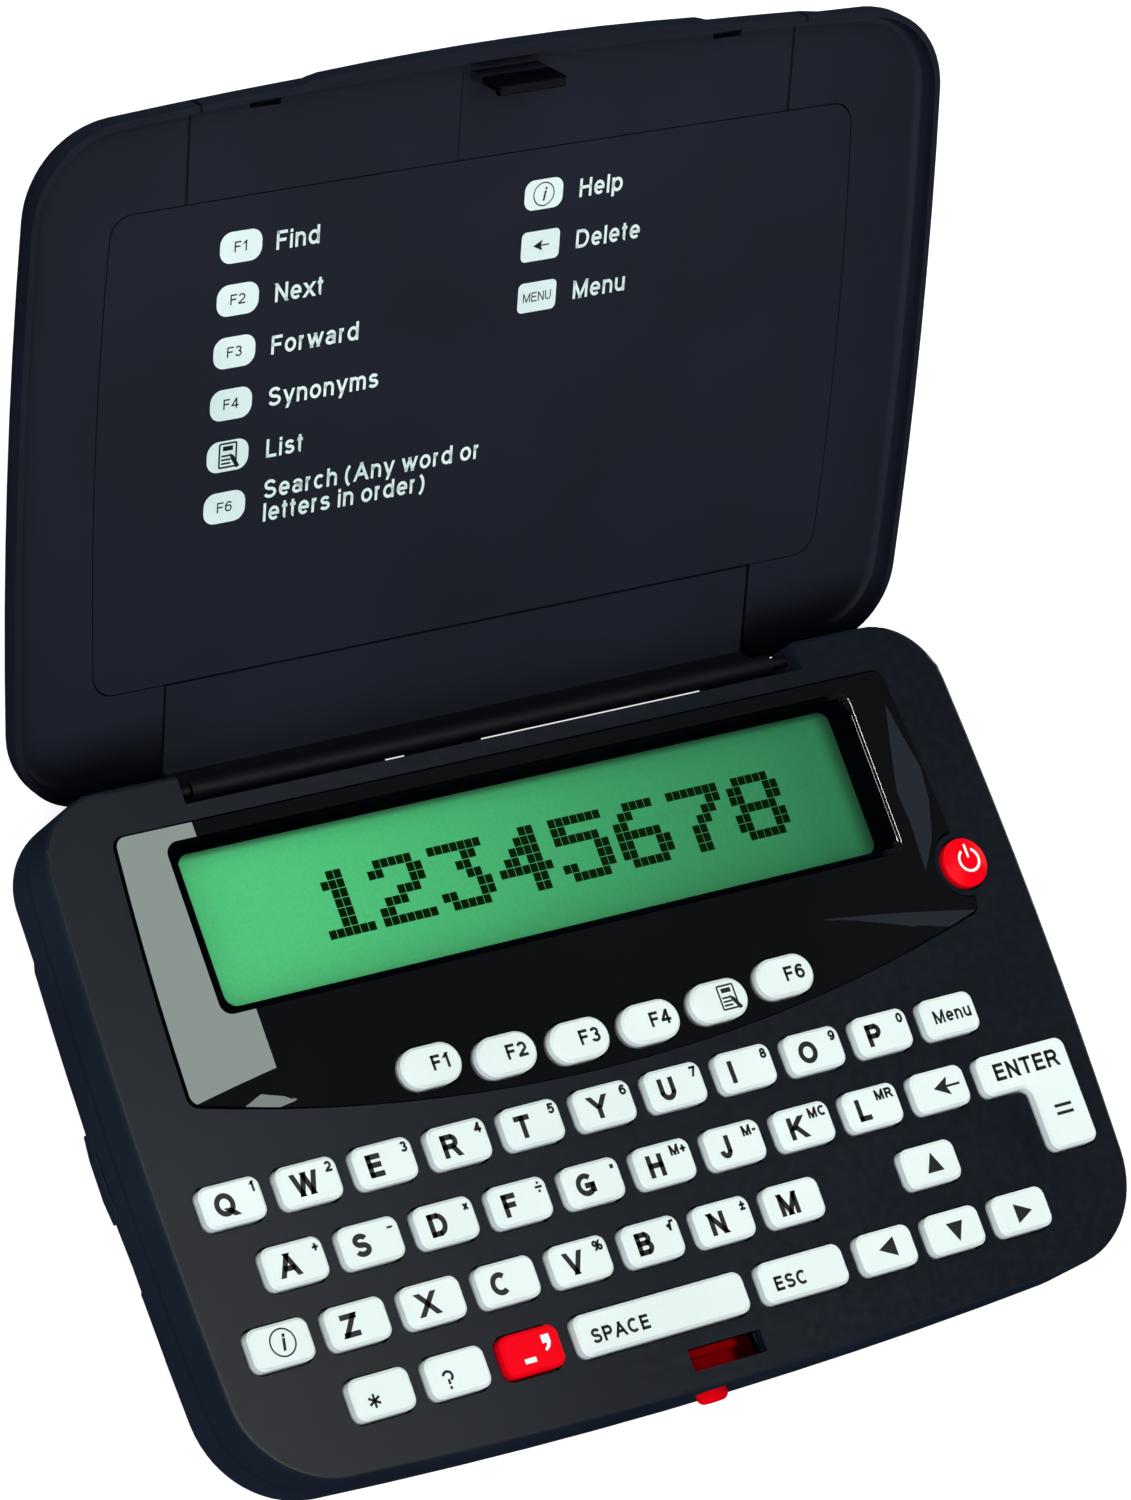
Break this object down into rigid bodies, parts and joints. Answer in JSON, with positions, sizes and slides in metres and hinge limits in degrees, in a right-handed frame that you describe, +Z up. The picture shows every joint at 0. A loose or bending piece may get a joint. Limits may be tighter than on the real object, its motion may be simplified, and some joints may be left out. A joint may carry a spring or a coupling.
{
  "type": "electronic dictionary",
  "caption": "Clamshell hand-held electronic dictionary with a strip display under a glossy bezel, a letter keyboard and a lid that opens past upright.",
  "frame": {"origin": "centre of the underside, where the case rests on a table", "axes": "+X to the right of the keyboard, +Y from the user towards the hinge, +Z up"},
  "size_m": [0.1332, 0.154, 0.0653],
  "materials": {
    "case_plastic": "fine matt texture",
    "panel_plastic": "fine matt texture",
    "bezel_gloss": "high gloss",
    "lcd_glass": "satin green display",
    "key_white": "satin, black print",
    "red_plastic": "satin gloss",
    "board_green": "solder mask",
    "mat_rubber": "matt",
    "cell_steel": "brushed",
    "spring_steel": "brushed",
    "screw_steel": "blackened"
  },
  "bodies": {
    "base": {"upper_case": "case_plastic", "lower_case": "case_plastic", "display_bezel": "bezel_gloss", "lcd_module": "lcd_glass", "circuit_board": "board_green", "dome_mat": "mat_rubber", "coin_cells": "cell_steel", "battery_cover": "case_plastic", "latch_spring": "spring_steel", "case_screws": "screw_steel"},
    "lid": {"lid_shell": "case_plastic", "lid_panel": "panel_plastic", "hinge_leaf": "case_plastic"},
    "latch": {"latch_button": "red_plastic"},
    "key_a": {"key_a": "key_white"},
    "key_b": {"key_b": "key_white"},
    "key_back": {"key_back": "key_white"},
    "key_c": {"key_c": "key_white"},
    "key_d": {"key_d": "key_white"},
    "key_dash": {"key_dash": "red_plastic"},
    "key_down": {"key_down": "key_white"},
    "key_e": {"key_e": "key_white"},
    "key_enter": {"key_enter": "key_white"},
    "key_escape": {"key_escape": "key_white"},
    "key_f": {"key_f": "key_white"},
    "key_function_1": {"key_function_1": "key_white"},
    "key_function_2": {"key_function_2": "key_white"},
    "key_function_3": {"key_function_3": "key_white"},
    "key_function_4": {"key_function_4": "key_white"},
    "key_function_5": {"key_function_5": "key_white"},
    "key_function_6": {"key_function_6": "key_white"},
    "key_g": {"key_g": "key_white"},
    "key_h": {"key_h": "key_white"},
    "key_i": {"key_i": "key_white"},
    "key_info": {"key_info": "key_white"},
    "key_j": {"key_j": "key_white"},
    "key_k": {"key_k": "key_white"},
    "key_l": {"key_l": "key_white"},
    "key_left": {"key_left": "key_white"},
    "key_m": {"key_m": "key_white"},
    "key_menu": {"key_menu": "key_white"},
    "key_n": {"key_n": "key_white"},
    "key_o": {"key_o": "key_white"},
    "key_p": {"key_p": "key_white"},
    "key_power": {"key_power": "red_plastic"},
    "key_q": {"key_q": "key_white"},
    "key_question": {"key_question": "key_white"},
    "key_r": {"key_r": "key_white"},
    "key_right": {"key_right": "key_white"},
    "key_s": {"key_s": "key_white"},
    "key_space": {"key_space": "key_white"},
    "key_star": {"key_star": "key_white"},
    "key_t": {"key_t": "key_white"},
    "key_u": {"key_u": "key_white"},
    "key_up": {"key_up": "key_white"},
    "key_v": {"key_v": "key_white"},
    "key_w": {"key_w": "key_white"},
    "key_x": {"key_x": "key_white"},
    "key_y": {"key_y": "key_white"},
    "key_z": {"key_z": "key_white"}
  },
  "joints": [
    {"name": "lid_hinge", "type": "hinge", "parent": "base", "child": "lid", "pos_m": [0, 0.04215, 0.0087], "axis": [1, 0, 0], "range_deg": [0, 137]},
    {"name": "latch_slide", "type": "slide", "parent": "base", "child": "latch", "axis": [0, 1, 0], "range_m": [0, 0.0006], "stiffness_N_per_m": 500, "springref_m": -0.0004, "deforming": ["latch_spring"]},
    {"name": "key_a_press", "type": "slide", "parent": "base", "child": "key_a", "axis": [0, 0, -1], "range_m": [0, 0.0008], "stiffness_N_per_m": 500, "springref_m": -0.0002},
    {"name": "key_b_press", "type": "slide", "parent": "base", "child": "key_b", "axis": [0, 0, -1], "range_m": [0, 0.0008], "stiffness_N_per_m": 500, "springref_m": -0.0002},
    {"name": "key_back_press", "type": "slide", "parent": "base", "child": "key_back", "axis": [0, 0, -1], "range_m": [0, 0.0008], "stiffness_N_per_m": 500, "springref_m": -0.0002},
    {"name": "key_c_press", "type": "slide", "parent": "base", "child": "key_c", "axis": [0, 0, -1], "range_m": [0, 0.0008], "stiffness_N_per_m": 500, "springref_m": -0.0002},
    {"name": "key_d_press", "type": "slide", "parent": "base", "child": "key_d", "axis": [0, 0, -1], "range_m": [0, 0.0008], "stiffness_N_per_m": 500, "springref_m": -0.0002},
    {"name": "key_dash_press", "type": "slide", "parent": "base", "child": "key_dash", "axis": [0, 0, -1], "range_m": [0, 0.0008], "stiffness_N_per_m": 500, "springref_m": -0.0002},
    {"name": "key_down_press", "type": "slide", "parent": "base", "child": "key_down", "axis": [0, 0, -1], "range_m": [0, 0.0008], "stiffness_N_per_m": 500, "springref_m": -0.0002},
    {"name": "key_e_press", "type": "slide", "parent": "base", "child": "key_e", "axis": [0, 0, -1], "range_m": [0, 0.0008], "stiffness_N_per_m": 500, "springref_m": -0.0002},
    {"name": "key_enter_press", "type": "slide", "parent": "base", "child": "key_enter", "axis": [0, 0, -1], "range_m": [0, 0.0008], "stiffness_N_per_m": 500, "springref_m": -0.0002},
    {"name": "key_escape_press", "type": "slide", "parent": "base", "child": "key_escape", "axis": [0, 0, -1], "range_m": [0, 0.0008], "stiffness_N_per_m": 500, "springref_m": -0.0002},
    {"name": "key_f_press", "type": "slide", "parent": "base", "child": "key_f", "axis": [0, 0, -1], "range_m": [0, 0.0008], "stiffness_N_per_m": 500, "springref_m": -0.0002},
    {"name": "key_function_1_press", "type": "slide", "parent": "base", "child": "key_function_1", "axis": [0, 0, -1], "range_m": [0, 0.0008], "stiffness_N_per_m": 500, "springref_m": -0.0002},
    {"name": "key_function_2_press", "type": "slide", "parent": "base", "child": "key_function_2", "axis": [0, 0, -1], "range_m": [0, 0.0008], "stiffness_N_per_m": 500, "springref_m": -0.0002},
    {"name": "key_function_3_press", "type": "slide", "parent": "base", "child": "key_function_3", "axis": [0, 0, -1], "range_m": [0, 0.0008], "stiffness_N_per_m": 500, "springref_m": -0.0002},
    {"name": "key_function_4_press", "type": "slide", "parent": "base", "child": "key_function_4", "axis": [0, 0, -1], "range_m": [0, 0.0008], "stiffness_N_per_m": 500, "springref_m": -0.0002},
    {"name": "key_function_5_press", "type": "slide", "parent": "base", "child": "key_function_5", "axis": [0, 0, -1], "range_m": [0, 0.0008], "stiffness_N_per_m": 500, "springref_m": -0.0002},
    {"name": "key_function_6_press", "type": "slide", "parent": "base", "child": "key_function_6", "axis": [0, 0, -1], "range_m": [0, 0.0008], "stiffness_N_per_m": 500, "springref_m": -0.0002},
    {"name": "key_g_press", "type": "slide", "parent": "base", "child": "key_g", "axis": [0, 0, -1], "range_m": [0, 0.0008], "stiffness_N_per_m": 500, "springref_m": -0.0002},
    {"name": "key_h_press", "type": "slide", "parent": "base", "child": "key_h", "axis": [0, 0, -1], "range_m": [0, 0.0008], "stiffness_N_per_m": 500, "springref_m": -0.0002},
    {"name": "key_i_press", "type": "slide", "parent": "base", "child": "key_i", "axis": [0, 0, -1], "range_m": [0, 0.0008], "stiffness_N_per_m": 500, "springref_m": -0.0002},
    {"name": "key_info_press", "type": "slide", "parent": "base", "child": "key_info", "axis": [0, 0, -1], "range_m": [0, 0.0008], "stiffness_N_per_m": 500, "springref_m": -0.0002},
    {"name": "key_j_press", "type": "slide", "parent": "base", "child": "key_j", "axis": [0, 0, -1], "range_m": [0, 0.0008], "stiffness_N_per_m": 500, "springref_m": -0.0002},
    {"name": "key_k_press", "type": "slide", "parent": "base", "child": "key_k", "axis": [0, 0, -1], "range_m": [0, 0.0008], "stiffness_N_per_m": 500, "springref_m": -0.0002},
    {"name": "key_l_press", "type": "slide", "parent": "base", "child": "key_l", "axis": [0, 0, -1], "range_m": [0, 0.0008], "stiffness_N_per_m": 500, "springref_m": -0.0002},
    {"name": "key_left_press", "type": "slide", "parent": "base", "child": "key_left", "axis": [0, 0, -1], "range_m": [0, 0.0008], "stiffness_N_per_m": 500, "springref_m": -0.0002},
    {"name": "key_m_press", "type": "slide", "parent": "base", "child": "key_m", "axis": [0, 0, -1], "range_m": [0, 0.0008], "stiffness_N_per_m": 500, "springref_m": -0.0002},
    {"name": "key_menu_press", "type": "slide", "parent": "base", "child": "key_menu", "axis": [0, 0, -1], "range_m": [0, 0.0008], "stiffness_N_per_m": 500, "springref_m": -0.0002},
    {"name": "key_n_press", "type": "slide", "parent": "base", "child": "key_n", "axis": [0, 0, -1], "range_m": [0, 0.0008], "stiffness_N_per_m": 500, "springref_m": -0.0002},
    {"name": "key_o_press", "type": "slide", "parent": "base", "child": "key_o", "axis": [0, 0, -1], "range_m": [0, 0.0008], "stiffness_N_per_m": 500, "springref_m": -0.0002},
    {"name": "key_p_press", "type": "slide", "parent": "base", "child": "key_p", "axis": [0, 0, -1], "range_m": [0, 0.0008], "stiffness_N_per_m": 500, "springref_m": -0.0002},
    {"name": "key_power_press", "type": "slide", "parent": "base", "child": "key_power", "axis": [0, 0, -1], "range_m": [0, 0.0008], "stiffness_N_per_m": 500, "springref_m": -0.0002},
    {"name": "key_q_press", "type": "slide", "parent": "base", "child": "key_q", "axis": [0, 0, -1], "range_m": [0, 0.0008], "stiffness_N_per_m": 500, "springref_m": -0.0002},
    {"name": "key_question_press", "type": "slide", "parent": "base", "child": "key_question", "axis": [0, 0, -1], "range_m": [0, 0.0008], "stiffness_N_per_m": 500, "springref_m": -0.0002},
    {"name": "key_r_press", "type": "slide", "parent": "base", "child": "key_r", "axis": [0, 0, -1], "range_m": [0, 0.0008], "stiffness_N_per_m": 500, "springref_m": -0.0002},
    {"name": "key_right_press", "type": "slide", "parent": "base", "child": "key_right", "axis": [0, 0, -1], "range_m": [0, 0.0008], "stiffness_N_per_m": 500, "springref_m": -0.0002},
    {"name": "key_s_press", "type": "slide", "parent": "base", "child": "key_s", "axis": [0, 0, -1], "range_m": [0, 0.0008], "stiffness_N_per_m": 500, "springref_m": -0.0002},
    {"name": "key_space_press", "type": "slide", "parent": "base", "child": "key_space", "axis": [0, 0, -1], "range_m": [0, 0.0008], "stiffness_N_per_m": 500, "springref_m": -0.0002},
    {"name": "key_star_press", "type": "slide", "parent": "base", "child": "key_star", "axis": [0, 0, -1], "range_m": [0, 0.0008], "stiffness_N_per_m": 500, "springref_m": -0.0002},
    {"name": "key_t_press", "type": "slide", "parent": "base", "child": "key_t", "axis": [0, 0, -1], "range_m": [0, 0.0008], "stiffness_N_per_m": 500, "springref_m": -0.0002},
    {"name": "key_u_press", "type": "slide", "parent": "base", "child": "key_u", "axis": [0, 0, -1], "range_m": [0, 0.0008], "stiffness_N_per_m": 500, "springref_m": -0.0002},
    {"name": "key_up_press", "type": "slide", "parent": "base", "child": "key_up", "axis": [0, 0, -1], "range_m": [0, 0.0008], "stiffness_N_per_m": 500, "springref_m": -0.0002},
    {"name": "key_v_press", "type": "slide", "parent": "base", "child": "key_v", "axis": [0, 0, -1], "range_m": [0, 0.0008], "stiffness_N_per_m": 500, "springref_m": -0.0002},
    {"name": "key_w_press", "type": "slide", "parent": "base", "child": "key_w", "axis": [0, 0, -1], "range_m": [0, 0.0008], "stiffness_N_per_m": 500, "springref_m": -0.0002},
    {"name": "key_x_press", "type": "slide", "parent": "base", "child": "key_x", "axis": [0, 0, -1], "range_m": [0, 0.0008], "stiffness_N_per_m": 500, "springref_m": -0.0002},
    {"name": "key_y_press", "type": "slide", "parent": "base", "child": "key_y", "axis": [0, 0, -1], "range_m": [0, 0.0008], "stiffness_N_per_m": 500, "springref_m": -0.0002},
    {"name": "key_z_press", "type": "slide", "parent": "base", "child": "key_z", "axis": [0, 0, -1], "range_m": [0, 0.0008], "stiffness_N_per_m": 500, "springref_m": -0.0002}
  ]
}
